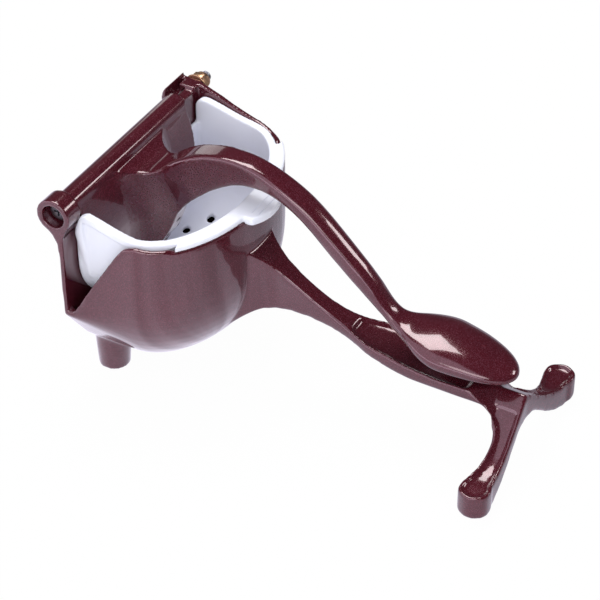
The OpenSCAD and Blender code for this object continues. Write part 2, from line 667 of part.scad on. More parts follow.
module strainer_shell() {
    difference() {
        hull() bowl(strainer_back, side_end, strainer_front + strainer_wall, strainer_half,
            76, strainer_turn, strainer_floor - strainer_wall, corner = strainer_corner);
        hull() bowl(strainer_back + strainer_wall, side_end, strainer_front,
            strainer_half - strainer_wall, 90, strainer_turn, strainer_floor,
            corner = strainer_corner);
        side_on(-60, 60) polygon(concat(strainer_saddle(-1), [[90, rim_top - 1], [90, 120], [0, 120]]));
        translate([0, -strainer_half + strainer_wall - e, strainer_back_h])
            cube([strainer_back + strainer_wall + 1, 2 * (strainer_half - strainer_wall + e), 30]);
    }
}

module strainer_rim() {
    intersection() {
        linear_extrude(100) difference() {
            union() {
                rounded(1.2) polygon(cup_plan(strainer_back, side_end, rim_front, rim_half, 40, corner = 2.4));
                // shelf that lies over the top of the cup wall round the front
                intersection() {
                    polygon(cup_plan(back_inner, side_end, cup_reach, cup_w / 2, 40));
                    rounded(2) polygon([[shelf_x + 4, -60], [shelf_x - 2, -30], [shelf_x - 2, 30],
                        [shelf_x + 4, 60], [90, 60], [90, -60]]);
                }
            }
            polygon(cup_plan(strainer_back - 5, side_end, strainer_front,
                strainer_half - strainer_wall, 40));
        }
        strainer_band(3.2);
    }
}

// Finger tab at the front, a shallow arc that stands out past the cup
module strainer_tab() {
    out = cup_reach + tab_out;
    thick = strainer_rim_t + tab_drop;
    translate([0, 0, rim_top - thick]) linear_extrude(thick) difference() {
        rounded(1.6) intersection() {
            translate([out - 17, 0]) circle(r = 17);
            translate([cup_reach - 4, -tab_half_w]) square([30, 2 * tab_half_w]);
        }
        polygon(cup_plan(0, side_end, cup_reach + strainer_gap, cup_w / 2 + strainer_gap, 40));
    }
    translate([cup_reach - 4, -tab_half_w + 2, rim_top - strainer_rim_t])
        cube([6, 2 * tab_half_w - 4, strainer_rim_t]);
}

// Two fine lines across the top of the tab
module tab_lines() {
    for (x = [0, 2.6]) translate([cup_reach + 0.4 + x, -tab_half_w + 3.5, rim_top - 0.25])
        cube([0.4, 2 * tab_half_w - 7, 1]);
}

module drain_holes() {
    // through the floor, with one more at each side where the floor curves up
    for (row = [0 : 2]) for (i = [(row == 1 ? -4 : -3) : (row == 1 ? 4 : 3)])
        translate([strainer_back + 7 + row * drain_pitch, i * drain_pitch, 0])
            cylinder(r = drain_r, h = 60);
    // through the back wall
    for (row = [0 : 2]) for (i = [-2 : 2])
        translate([0, i * drain_pitch, strainer_floor + 10 + row * drain_pitch])
            rotate([0, 90, 0]) cylinder(r = drain_r, h = strainer_back + strainer_wall + 1);
}

// Post in the near back corner, flush with the rim, that runs out down the wall
module corner_post() {
    back = strainer_back;
    hull() {
        translate([0, 0, 67]) linear_extrude(7.6) polygon([[back + 4.2, -strainer_half + 0.7],
            [back + 0.1, -strainer_half + 0.7], [back + 0.1, -rim_half + 2.2],
            [back + 0.7, -rim_half + 0.7], [back + 2.2, -rim_half], [back + 4.2, -rim_half]]);
        translate([0, 0, 49]) linear_extrude(1) polygon([[back + 5.6, -strainer_half + 1.6],
            [back + 2.6, -strainer_half + 1.6], [back + 4.4, -strainer_half + 0.3],
            [back + 5.6, -strainer_half + 0.3]]);
    }
}

// Room in the strainer's back corners for the lever's barrel and the knuckles' roots
module hinge_room() {
    reach = near_knuckle_r + strainer_gap;
    along_hinge(barrel_r + strainer_gap, near_inner - 1, far_inner + 1);
    along_hinge(reach, near_face, near_inner + strainer_gap);
    side_on(near_face, near_inner + strainer_gap) polygon([[0, hinge_h - 17.5],
        [strainer_back, hinge_h - 17.5], [strainer_back, hinge_h - 9.4],
        [strainer_back + 1, hinge_h - 7], [reach * 0.82, hinge_h - reach * 0.68],
        [reach, hinge_h], [reach, horn_h + 2], [0, horn_h + 2]]);
    horn_root(strainer_gap);
    // the tops of the side walls are rounded where they end at the hinge
    side_on(-rim_half - 1, -strainer_half + strainer_wall + e) polygon(concat(
        [[0, 90], [0, 69], [reach - 2.4, 69]],
        bezier([reach - 2.4, 71], [reach - 1.4, 75], [reach + 0.8, 76.6], [reach + 4, 76.7], 5),
        [[reach + 4, 90]]));
    side_on(strainer_half - strainer_wall - e, rim_half + 1) polygon(concat(
        [[0, 90], [0, strainer_back_h], [strainer_back + 0.2, strainer_back_h]],
        bezier([strainer_back + 0.2, 73], [strainer_back + 0.5, 75.4], [strainer_back + 1.8, 76.8],
            [strainer_back + 5, 76.9], 5), [[strainer_back + 5, 90]]));
}

module strainer() {
    color([0.93, 0.94, 0.98]) placed() difference() {
        union() {
            strainer_shell();
            strainer_rim();
            strainer_tab();
            corner_post();
        }
        drain_holes();
        tab_lines();
        hinge_room();
    }
}

// ---------------------------------------------------------------- hardware

module hinge_screw() {
    slot_w = 1;
    color([0.62, 0.63, 0.65]) placed() difference() {
        union() {
            along_hinge(head_r, head_seat - head_t, head_seat);
            along_hinge(screw_r, head_seat - e, screw_tip);
        }
        // cross slot in the head
        for (turn = [0, 90]) translate([0, head_seat - head_t, hinge_h]) rotate([0, turn, 0])
            cube([head_r * 1.2, 2.4, slot_w], center = true);
    }
}

module hinge_washer() {
    color([0.80, 0.66, 0.40]) placed() difference() {
        along_hinge(washer_r, far_face, far_face + washer_t);
        along_hinge(screw_r + 0.15, far_face - 1, far_face + washer_t + 1);
    }
}

module hinge_nut() {
    collar_r = nut_af / 2 - 0.2;
    color([0.80, 0.66, 0.40]) placed() difference() {
        union() {
            translate([0, nut_start, hinge_h]) rotate([-90, 0, 0]) intersection() {
                cylinder(d = nut_af / cos(30), h = nut_hex_h, $fn = 6);
                cylinder(r1 = nut_af / 2 + 0.1, r2 = nut_af / 2 + 0.1 + nut_hex_h * 2,
                    h = nut_hex_h, $fn = 64);
            }
            translate([0, nut_start + nut_hex_h - e, hinge_h]) rotate([-90, 0, 0])
                cylinder(r1 = collar_r, r2 = collar_r - 0.6, h = nut_collar_h + e);
        }
        along_hinge(screw_r, nut_start - 1, nut_start + nut_h + 1);
        along_hinge(collar_r - 0.9, nut_start + nut_h - insert_t, nut_start + nut_h + 1);
    }
}

module nut_lock_ring() {
    color([0.90, 0.90, 0.86]) placed() difference() {
        along_hinge(nut_af / 2 - 1.1, nut_start + nut_h - insert_t, nut_start + nut_h - 0.15);
        along_hinge(screw_r, nut_start, nut_start + nut_h + 1);
    }
}

stand();
lever();
strainer();
hinge_screw();
hinge_washer();
hinge_nut();
nut_lock_ring();
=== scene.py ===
"""Looks for the hinged lemon squeezer.

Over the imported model, the two enamelled castings and the white strainer get cast and
moulded skins, the hinge hardware gets its thread, recess and chamfers, and the whole
stands in a plain studio.
"""

import logging
import math
from dataclasses import dataclass
from enum import Enum
from typing import Any, Iterable, Sequence

import bpy
import numpy as np
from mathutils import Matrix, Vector


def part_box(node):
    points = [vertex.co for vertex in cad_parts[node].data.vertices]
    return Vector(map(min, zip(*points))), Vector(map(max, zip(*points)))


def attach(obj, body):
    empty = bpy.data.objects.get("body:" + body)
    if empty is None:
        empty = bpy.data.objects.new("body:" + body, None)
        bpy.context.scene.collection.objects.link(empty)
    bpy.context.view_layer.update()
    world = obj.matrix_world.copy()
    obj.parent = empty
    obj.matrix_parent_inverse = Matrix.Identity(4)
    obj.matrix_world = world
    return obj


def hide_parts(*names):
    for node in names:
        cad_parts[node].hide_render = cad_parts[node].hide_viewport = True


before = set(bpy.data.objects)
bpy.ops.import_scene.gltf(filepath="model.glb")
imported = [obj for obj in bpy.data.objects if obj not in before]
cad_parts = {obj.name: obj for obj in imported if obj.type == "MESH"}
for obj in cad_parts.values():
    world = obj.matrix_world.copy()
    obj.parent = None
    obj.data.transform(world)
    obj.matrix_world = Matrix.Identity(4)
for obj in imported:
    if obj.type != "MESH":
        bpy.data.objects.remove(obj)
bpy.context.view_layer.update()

LOG = logging.getLogger("squeezer")

Span = tuple[float, float]
Point = tuple[float, float, float]
Colour = tuple[float, float, float, float]
# a Map Range node's sockets 1 to 4: from low, from high, to low, to high
Spread = tuple[float, float, float, float]

MM = 0.001
HINGE = Vector((-0.0791, 0.0, 0.077))
WHITE: Colour = (1.0, 1.0, 1.0, 1.0)
# points closer than this are one point
MERGE_M = 1e-6
# a turned piece's points closer to its axis than this are its poles
POLE_MM = 1e-3
# how far a cutting tool stands out of the piece that it cuts
CLEAR_MM = 1.0
# vertex groups are filled in this many steps of weight
WEIGHT_STEPS = 20
# a voxel skin is thinned to this, because a piece stays under 200,000 triangles
MOST_TRIANGLES = 190_000


class Body(Enum):
    """The two bodies that the hinge joins."""

    STAND = "stand"
    LEVER = "lever"


class Slot(Enum):
    """The record's material slots."""

    ENAMEL = "flake_paint"
    PLASTIC = "white_plastic"
    BRIGHT_ZINC = "zinc_steel"
    YELLOW_ZINC = "yellow_zinc"
    NYLON = "nylon"


class Meeting(Enum):
    """What a tool does to the piece that it meets."""

    CUT = "DIFFERENCE"
    JOIN = "UNION"
    CROSS = "INTERSECT"


class Axis(Enum):
    """The frame's axes that zones are measured along."""

    X = 0
    Z = 2


# ------------------------------------------------------------------ colours and nodes


def hex_colour(code: str) -> Colour:
    """Turns an sRGB hex value into the linear colour that shaders work in.

    Args:
        code: Six hex digits with a leading hash.

    Returns:
        Linear red, green and blue with an alpha of one.
    """
    parts = [int(code[i : i + 2], 16) / 255 for i in (1, 3, 5)]
    linear = [c / 12.92 if c <= 0.04045 else ((c + 0.055) / 1.055) ** 2.4 for c in parts]
    return (linear[0], linear[1], linear[2], 1.0)


def add_node(tree: bpy.types.NodeTree, kind: str, values: dict[Any, Any] | None = None,
             links: dict[Any, Any] | None = None, **settings: Any) -> bpy.types.Node:
    """Adds one node to a tree with its settings, socket values and incoming links.

    Args:
        tree: The node tree that gets the node.
        kind: The node's type, such as "ShaderNodeTexNoise".
        values: Input socket name or index to the value it holds.
        links: Input socket name or index to the output socket that feeds it.
        **settings: Properties of the node itself.

    Returns:
        The new node.
    """
    node = tree.nodes.new(kind)
    for name, value in settings.items():
        setattr(node, name, value)
    for socket, value in (values or {}).items():
        node.inputs[socket].default_value = value
    for socket, source in (links or {}).items():
        tree.links.new(source, node.inputs[socket])
    return node


def new_material(name: str) -> tuple[bpy.types.Material, bpy.types.NodeTree]:
    """Makes an empty node material.

    Args:
        name: The material's name.

    Returns:
        The material and its node tree.
    """
    material = bpy.data.materials.new(name)
    material.use_nodes = True
    material.node_tree.nodes.clear()
    return material, material.node_tree


def ramp_stops(node: bpy.types.Node, stops: Sequence[tuple[float, float | Colour]]) -> None:
    """Sets the stops of a colour ramp.

    Args:
        node: The ramp node.
        stops: Pairs of position and colour, or of position and grey level.
    """
    ramp = node.color_ramp
    while len(ramp.elements) < len(stops):
        ramp.elements.new(0.5)
    for element, (place, colour) in zip(ramp.elements, stops):
        element.position = place
        element.color = colour if isinstance(colour, tuple) else (colour, colour, colour, 1)


# ------------------------------------------------------------------ finishes


@dataclass(frozen=True)
class FlakeEnamel:
    """Metal-flake stoving enamel over die-cast aluminium, under a clear coat.

    The eye sees a deep red body with fine bright specks, a mirror-like coat that picks
    up the white surroundings, and a faint orange-peel wave from spraying.
    """

    name: str = "flake_enamel_on_cast_aluminium"
    body: str = "#521520"
    flake: str = "#a0687c"
    # lighter colour on sharp edges: partly thin enamel, partly a painted highlight
    edge: str = "#7d3a46"
    # real flakes are about 0.05 mm across, drawn coarser so that they show
    flake_mm: float = 0.24
    flake_from: float = 0.6
    flake_most: float = 0.22
    flake_height_mm: float = 0.05
    cloud_mm: float = 9.0
    cloud_dim: float = 0.86
    thin_enamel_and_sheen: Span = (0.53, 0.62)
    thin_enamel_and_sheen_most: float = 0.35
    peel_mm: float = 3.5
    peel_height_mm: float = 0.1

    def _body_colour(self, tree: bpy.types.NodeTree, place: bpy.types.NodeSocket,
                     brightness: bpy.types.NodeSocket) -> bpy.types.NodeSocket:
        """Mixes the deep body colour with its flakes and a faint cloudiness.

        Args:
            tree: The enamel's node tree.
            place: The object coordinates.
            brightness: A number of its own for each flake.

        Returns:
            The socket that carries the colour.
        """
        bright = add_node(tree, "ShaderNodeValToRGB", links={"Fac": brightness})
        ramp_stops(bright, [(self.flake_from, 0.0), (1.0, self.flake_most)])
        body = add_node(tree, "ShaderNodeMix", {6: hex_colour(self.body),
                        7: hex_colour(self.flake)}, {0: bright.outputs["Color"]},
                        data_type="RGBA")
        cloud = add_node(tree, "ShaderNodeTexNoise", {"Scale": 1 / (self.cloud_mm * MM),
                         "Detail": 3.0}, {"Vector": place})
        shade = add_node(tree, "ShaderNodeValToRGB", links={"Fac": cloud.outputs["Fac"]})
        ramp_stops(shade, [(0.3, self.cloud_dim), (0.7, 1.0)])
        toned = add_node(tree, "ShaderNodeMix", {0: 1.0}, {6: body.outputs[2],
                         7: shade.outputs["Color"]}, data_type="RGBA", blend_type="MULTIPLY")
        return toned.outputs[2]

    def build(self) -> bpy.types.Material:
        """Builds the enamel's nodes and returns the material."""
        material, tree = new_material(self.name)
        place = add_node(tree, "ShaderNodeTexCoord").outputs["Object"]
        cells = add_node(tree, "ShaderNodeTexVoronoi", {"Scale": 1 / (self.flake_mm * MM)},
                         {"Vector": place})
        # each flake's red picks its brightness and its green its tilt
        flakes = add_node(tree, "ShaderNodeSeparateColor",
                          links={"Color": cells.outputs["Color"]})
        body = self._body_colour(tree, place, flakes.outputs["Red"])
        # sharp edges are lightened: partly thin enamel over the metal, partly a painted
        # highlight
        thin_enamel_and_sheen = add_node(tree, "ShaderNodeNewGeometry")
        thin_and_sheen_mask = add_node(tree, "ShaderNodeValToRGB", links={"Fac": thin_enamel_and_sheen.outputs["Pointiness"]})
        ramp_stops(thin_and_sheen_mask, [(self.thin_enamel_and_sheen[0], 0.0), (self.thin_enamel_and_sheen[1], self.thin_enamel_and_sheen_most)])
        colour = add_node(tree, "ShaderNodeMix", {7: hex_colour(self.edge)},
                          {0: thin_and_sheen_mask.outputs["Color"], 6: body}, data_type="RGBA")
        peel = add_node(tree, "ShaderNodeTexNoise", {"Scale": 1 / (self.peel_mm * MM),
                        "Detail": 1.0}, {"Vector": place})
        wave = add_node(tree, "ShaderNodeBump", {"Strength": 0.08,
                        "Distance": self.peel_height_mm * MM}, {"Height": peel.outputs["Fac"]})
        tilt = add_node(tree, "ShaderNodeBump", {"Strength": 0.1,
                        "Distance": self.flake_height_mm * MM},
                        {"Height": flakes.outputs["Green"], "Normal": wave.outputs["Normal"]})
        shader = add_node(tree, "ShaderNodeBsdfPrincipled",
                          {"Metallic": 0.25, "Roughness": 0.16, "IOR": 1.5, "Coat Weight": 1.0,
                           "Coat Roughness": 0.02, "Coat IOR": 1.5},
                          {"Base Color": colour.outputs[2], "Normal": tilt.outputs["Normal"],
                           "Coat Normal": wave.outputs["Normal"]})
        add_node(tree, "ShaderNodeOutputMaterial", links={"Surface": shader.outputs[0]})
        return material


@dataclass(frozen=True)
class MouldedPolypropylene:
    """Food-grade polypropylene, injection moulded.

    It is a cool bluish white, a little waxy, and lets some light into its surface.
    """

    name: str = "moulded_white_polypropylene"
    body: str = "#f3f4fe"
    shade: str = "#eceefa"
    flow_mm: float = 14.0
    grain_mm: float = 0.5
    grain_height_mm: float = 0.04
    roughness: Span = (0.28, 0.42)

    def build(self) -> bpy.types.Material:
        """Builds the plastic's nodes and returns the material."""
        material, tree = new_material(self.name)
        place = add_node(tree, "ShaderNodeTexCoord").outputs["Object"]
        flow = add_node(tree, "ShaderNodeTexNoise", {"Scale": 1 / (self.flow_mm * MM),
                        "Detail": 2.0}, {"Vector": place})
        colour = add_node(tree, "ShaderNodeMix", {6: hex_colour(self.shade),
                          7: hex_colour(self.body)}, {0: flow.outputs["Fac"]}, data_type="RGBA")
        grain = add_node(tree, "ShaderNodeTexNoise", {"Scale": 1 / (self.grain_mm * MM),
                         "Detail": 2.0}, {"Vector": place})
        rough = add_node(tree, "ShaderNodeMapRange", {3: self.roughness[0],
                         4: self.roughness[1]}, {0: grain.outputs["Fac"]})
        bump = add_node(tree, "ShaderNodeBump", {"Strength": 0.12,
                        "Distance": self.grain_height_mm * MM},
                        {"Height": grain.outputs["Fac"]})
        shader = add_node(tree, "ShaderNodeBsdfPrincipled",
                          {"IOR": 1.49, "Subsurface Weight": 0.12, "Subsurface Scale": 0.003,
                           "Subsurface Radius": (1.0, 1.0, 1.2)},
                          {"Base Color": colour.outputs[2], "Roughness": rough.outputs[0],
                           "Normal": bump.outputs["Normal"]})
        add_node(tree, "ShaderNodeOutputMaterial", links={"Surface": shader.outputs[0]})
        return material


@dataclass(frozen=True)
class PlatedSteel:
    """Cold-formed steel with a zinc plating, bright or passivated yellow.

    It is a soft metal sheen with a fine grain, and a slightly blotchy tint where the
    passivation took unevenly.
    """

    name: str
    light: str
    dark: str
    roughness: float
    blotch_mm: float = 2.5
    grain_mm: float = 0.25
    grain_height_mm: float = 0.03

    def build(self) -> bpy.types.Material:
        """Builds the plating's nodes and returns the material."""
        material, tree = new_material(self.name)
        place = add_node(tree, "ShaderNodeTexCoord").outputs["Object"]
        blotch = add_node(tree, "ShaderNodeTexNoise", {"Scale": 1 / (self.blotch_mm * MM),
                          "Detail": 4.0}, {"Vector": place})
        colour = add_node(tree, "ShaderNodeMix", {6: hex_colour(self.dark),
                          7: hex_colour(self.light)}, {0: blotch.outputs["Fac"]},
                          data_type="RGBA")
        grain = add_node(tree, "ShaderNodeTexNoise", {"Scale": 1 / (self.grain_mm * MM),
                         "Detail": 3.0}, {"Vector": place})
        rough = add_node(tree, "ShaderNodeMapRange", {3: self.roughness * 0.8,
                         4: self.roughness * 1.25}, {0: grain.outputs["Fac"]})
        bump = add_node(tree, "ShaderNodeBump", {"Strength": 0.2,
                        "Distance": self.grain_height_mm * MM},
                        {"Height": grain.outputs["Fac"]})
        shader = add_node(tree, "ShaderNodeBsdfPrincipled", {"Metallic": 1.0},
                          {"Base Color": colour.outputs[2], "Roughness": rough.outputs[0],
                           "Normal": bump.outputs["Normal"]})
        add_node(tree, "ShaderNodeOutputMaterial", links={"Surface": shader.outputs[0]})
        return material


@dataclass(frozen=True)
class NylonRing:
    """Natural nylon, moulded as the locking ring of the nut: milky and slightly shiny."""

    name: str = "natural_nylon"
    body: str = "#e9e7d6"
    grain_mm: float = 0.6
    roughness: Span = (0.32, 0.48)

    def build(self) -> bpy.types.Material:
        """Builds the nylon's nodes and returns the material."""
        material, tree = new_material(self.name)
        place = add_node(tree, "ShaderNodeTexCoord").outputs["Object"]
        grain = add_node(tree, "ShaderNodeTexNoise", {"Scale": 1 / (self.grain_mm * MM),
                         "Detail": 2.0}, {"Vector": place})
        rough = add_node(tree, "ShaderNodeMapRange", {3: self.roughness[0],
                         4: self.roughness[1]}, {0: grain.outputs["Fac"]})
        shader = add_node(tree, "ShaderNodeBsdfPrincipled",
                          {"Base Color": hex_colour(self.body), "IOR": 1.53,
                           "Subsurface Weight": 0.1, "Subsurface Scale": 0.001},
                          {"Roughness": rough.outputs[0]})
        add_node(tree, "ShaderNodeOutputMaterial", links={"Surface": shader.outputs[0]})
        return material


# ------------------------------------------------------------------ bench work


@dataclass(frozen=True)
class Edge:
    """One edge of a zone: a plane across an axis, past which the zone fades in.

    A negative fade means that the zone lies below the edge.
    """

    axis: Axis
    place_mm: float
    fade_mm: float


@dataclass(frozen=True)
class Zone:
    """A stretch of a skin that is smoothed further.

    It is made of regions, and each region lies past all of its own edges.
    """

    rounds: int
    regions: tuple[tuple[Edge, ...], ...]

    def share(self, places_mm: np.ndarray) -> np.ndarray:
        """Works out how much of the zone's smoothing each point takes.

        Args:
            places_mm: The points, one to a row.

        Returns:
            A share from 0 to 1 for each point.
        """
        depths = [np.min([(places_mm[:, edge.axis.value] - edge.place_mm) / edge.fade_mm
                          for edge in region], axis=0) for region in self.regions]
        return np.clip(np.max(depths, axis=0), 0.0, 1.0)


class Bench:
    """Selecting, shaping and finishing of meshes with Blender's own operators."""

    @staticmethod
    def clear() -> None:
        """Leaves edit mode and deselects everything."""
        if bpy.context.object and bpy.context.object.mode != "OBJECT":
            bpy.ops.object.mode_set(mode="OBJECT")
        bpy.ops.object.select_all(action="DESELECT")

    @staticmethod
    def take(piece: bpy.types.Object) -> None:
        """Makes a piece the only selected and active one.

        Args:
            piece: The piece to work on.
        """
        Bench.clear()
        piece.select_set(True)
        bpy.context.view_layer.objects.active = piece

    @staticmethod
    def copy_of(node: str, name: str) -> bpy.types.Object:
        """Copies a CAD node's mesh into a new piece and merges its loose triangles.

        Args:
            node: The CAD node to copy.
            name: The new piece's name.

        Returns:
            The new piece, with a mesh of its own.
        """
        piece = bpy.data.objects.new(name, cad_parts[node].data.copy())
        piece.data.name = name
        bpy.context.scene.collection.objects.link(piece)
        piece.data.materials.clear()
        Bench.take(piece)
        bpy.ops.object.mode_set(mode="EDIT")
        bpy.ops.mesh.select_all(action="SELECT")
        bpy.ops.mesh.remove_doubles(threshold=MERGE_M)
        bpy.ops.object.mode_set(mode="OBJECT")
        return piece

    @staticmethod
    def apply(piece: bpy.types.Object, kind: str, **settings: Any) -> None:
        """Adds a modifier to a piece, sets it up and applies it.

        Args:
            piece: The piece to change.
            kind: The modifier's type, such as "BEVEL".
            **settings: The modifier's properties.
        """
        Bench.take(piece)
        modifier = piece.modifiers.new(kind.lower(), kind)
        for name, value in settings.items():
            setattr(modifier, name, value)
        bpy.ops.object.modifier_apply(modifier=modifier.name)

    @staticmethod
    def weigh(piece: bpy.types.Object, name: str, zone: Zone) -> None:
        """Gives a piece a vertex group that holds each point's share of a zone.

        Args:
            piece: The piece that gets the group.
            name: The group's name.
            zone: The zone to weigh by.
        """
        places = np.empty(3 * len(piece.data.vertices), dtype=np.float32)
        piece.data.vertices.foreach_get("co", places)
        share = zone.share(places.reshape(-1, 3).astype(float) / MM)
        steps = np.rint(share * WEIGHT_STEPS).astype(int)
        group = piece.vertex_groups.new(name=name)
        for step in range(1, WEIGHT_STEPS + 1):
            members = np.flatnonzero(steps == step).tolist()
            if members:
                group.add(members, step / WEIGHT_STEPS, "REPLACE")

    @staticmethod
    def soften(piece: bpy.types.Object, voxel_mm: float, rounds: int,
               zones: Sequence[Zone] = ()) -> None:
        """Turns a sharp solid into a cast or moulded skin with rounded edges.

        Args:
            piece: The closed mesh to soften.
            voxel_mm: The grid of the skin.
            rounds: How many times the whole skin is smoothed.
            zones: Where it is smoothed further, in order.
        """
        Bench.apply(piece, "REMESH", mode="VOXEL", voxel_size=voxel_mm * MM)
        Bench.apply(piece, "SMOOTH", factor=0.5, iterations=rounds)
        for number, zone in enumerate(zones):
            group = f"soft_{number}"
            Bench.weigh(piece, group, zone)
            Bench.apply(piece, "SMOOTH", factor=0.5, iterations=zone.rounds,
                        vertex_group=group)
        piece.vertex_groups.clear()
        triangles = 2 * len(piece.data.polygons)
        if triangles > MOST_TRIANGLES:
            Bench.apply(piece, "DECIMATE", decimate_type="COLLAPSE",
                        ratio=MOST_TRIANGLES / triangles)
        Bench.take(piece)
        bpy.ops.object.shade_smooth()

    @staticmethod
    def turned(name: str, outline_mm: Iterable[Span], ring: bool = False,
               steps: int = 48) -> bpy.types.Object:
        """Turns an outline round the hinge axis, as on a lathe.

        Args:
            name: The new piece's name.
            outline_mm: Points of radius and place along the hinge, in order.
            ring: Whether the outline closes on itself; otherwise it runs from pole to pole.
            steps: How many faces go round.

        Returns:
            The turned piece.
        """
        points = list(outline_mm)
        edges = [(i, i + 1) for i in range(len(points) - 1)]
        if ring:
            edges.append((len(points) - 1, 0))
        mesh = bpy.data.meshes.new(name)
        mesh.from_pydata([(HINGE.x + r * MM, y * MM, HINGE.z) for r, y in points], edges, [])
        piece = bpy.data.objects.new(name, mesh)
        bpy.context.scene.collection.objects.link(piece)
        Bench.take(piece)
        bpy.ops.object.mode_set(mode="EDIT")
        bpy.ops.mesh.select_all(action="SELECT")
        bpy.ops.mesh.spin(steps=steps, angle=2 * math.pi, center=HINGE, axis=(0, 1, 0))
        bpy.ops.mesh.select_all(action="SELECT")
        bpy.ops.mesh.remove_doubles(threshold=MERGE_M)
        bpy.ops.mesh.normals_make_consistent(inside=False)
        bpy.ops.object.mode_set(mode="OBJECT")
        return piece

    @staticmethod
    def carve(piece: bpy.types.Object, tool: bpy.types.Object,
              meeting: Meeting = Meeting.CUT, solver: str = "EXACT") -> None:
        """Cuts, joins or crosses a piece with a tool, and throws the tool away.

        Args:
            piece: The piece to change.
            tool: The closed mesh to work with.
            meeting: What the tool does.
            solver: Blender's solver for it.
        """
        Bench.apply(piece, "BOOLEAN", object=tool, operation=meeting.value, solver=solver)
        bpy.data.objects.remove(tool, do_unlink=True)

    @staticmethod
    def block(low_mm: Sequence[float], high_mm: Sequence[float]) -> bpy.types.Object:
        """Makes a plain block to cut with.

        Args:
            low_mm: Its lowest corner.
            high_mm: Its highest corner.

        Returns:
            The block.
        """
        Bench.clear()
        middle = [(a + b) / 2 * MM for a, b in zip(low_mm, high_mm)]
        bpy.ops.mesh.primitive_cube_add(size=1.0, location=middle)
        tool = bpy.context.object
        tool.scale = [(b - a) * MM for a, b in zip(low_mm, high_mm)]
        bpy.ops.object.transform_apply(location=True, rotation=True, scale=True)
        return tool

    @staticmethod
    def edged(piece: bpy.types.Object, degrees: float = 35.0) -> None:
        """Shades a piece smooth, apart from edges sharper than an angle."""
        Bench.take(piece)
        bpy.ops.object.shade_smooth_by_angle(angle=math.radians(degrees))

    @staticmethod
    def finish(piece: bpy.types.Object, body: Body, material: bpy.types.Material, slot: Slot,
               stands_for: str) -> None:
        """Dresses a finished piece and puts it on its body in its CAD node's place.

        Args:
            piece: The finished piece.
            body: The body that it moves with.
            material: Its finish.
            slot: The record's slot for that finish; not used.
            stands_for: The CAD node that it replaces.
        """
        Bench.take(piece)
        bpy.ops.object.transform_apply(location=True, rotation=True, scale=True)
        piece.data.materials.clear()
        piece.data.materials.append(material)
        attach(piece, body.value)
        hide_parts(stands_for)
        Bench.clear()


# ------------------------------------------------------------------ castings


@dataclass
class StandCasting:
    """The cast stand: cup, spout, hinge knuckles, arm and rear foot."""

    finish: bpy.types.Material
    voxel_mm: float = 0.48
    rounds: int = 6
    arm: Zone = Zone(60, ((Edge(Axis.X, -18.0, 8.0), Edge(Axis.X, 60.0, -8.0),
                           Edge(Axis.Z, 58.0, -6.0)),))
    bowl: Zone = Zone(30, ((Edge(Axis.Z, 9.0, 3.0), Edge(Axis.Z, 46.0, -6.0),
                            Edge(Axis.X, -20.0, -6.0)),))
    foot: Zone = Zone(24, ((Edge(Axis.X, 58.0, 6.0),),))
    rim: Zone = Zone(18, ((Edge(Axis.X, -66.0, 4.0), Edge(Axis.Z, 64.0, 4.0)),))

    def build(self) -> bpy.types.Object:
        """Casts the stand's skin and returns it."""
        piece = Bench.copy_of("stand", "stand_casting")
        Bench.soften(piece, self.voxel_mm, self.rounds,
                     [self.arm, self.bowl, self.foot, self.rim])
        Bench.finish(piece, Body.STAND, self.finish, Slot.ENAMEL, "stand")
        return piece


@dataclass
class LeverCasting:
    """The cast lever: barrel, press plate, web, handle and palm rest."""

    finish: bpy.types.Material
    voxel_mm: float = 0.42
    rounds: int = 6
    handle_and_arch: Zone = Zone(40, ((Edge(Axis.X, -45.0, 14.0),),
                                      (Edge(Axis.X, -70.0, 6.0), Edge(Axis.Z, 72.0, 5.0))))
    palm: Zone = Zone(20, ((Edge(Axis.X, 30.0, 10.0),),))

    def build(self) -> bpy.types.Object:
        """Casts the lever's skin and returns it."""
        piece = Bench.copy_of("lever", "lever_casting")
        Bench.soften(piece, self.voxel_mm, self.rounds, [self.handle_and_arch, self.palm])
        Bench.finish(piece, Body.LEVER, self.finish, Slot.ENAMEL, "lever")
        return piece


@dataclass
class StrainerCup:
    """The white strainer cup that hangs in the stand."""

    finish: bpy.types.Material
    voxel_mm: float = 0.42
    rounds: int = 8
    tab_top_mm: float = 71.8
    lines_at_mm: Span = (-23.7, -21.1)
    line_ends_mm: Span = (-10.0, 4.0)
    line_w_mm: float = 0.45
    line_depth_mm: float = 0.35
    line_edge_degrees: float = 50.0

    def _mark_tab(self, piece: bpy.types.Object) -> None:
        """Cuts the two fine lines across the top of the tab.

        Args:
            piece: The strainer's skin.
        """
        near, far = self.line_ends_mm
        for x in self.lines_at_mm:
            tool = Bench.block((x, near, self.tab_top_mm - self.line_depth_mm),
                               (x + self.line_w_mm, far, self.tab_top_mm + CLEAR_MM))
            Bench.carve(piece, tool, solver="MANIFOLD")
        Bench.edged(piece, self.line_edge_degrees)

    def build(self) -> bpy.types.Object:
        """Moulds the strainer's skin and returns it."""
        piece = Bench.copy_of("strainer", "strainer_cup")
        Bench.soften(piece, self.voxel_mm, self.rounds)
        self._mark_tab(piece)
        Bench.finish(piece, Body.STAND, self.finish, Slot.PLASTIC, "strainer")
        return piece


# ------------------------------------------------------------------ hinge hardware


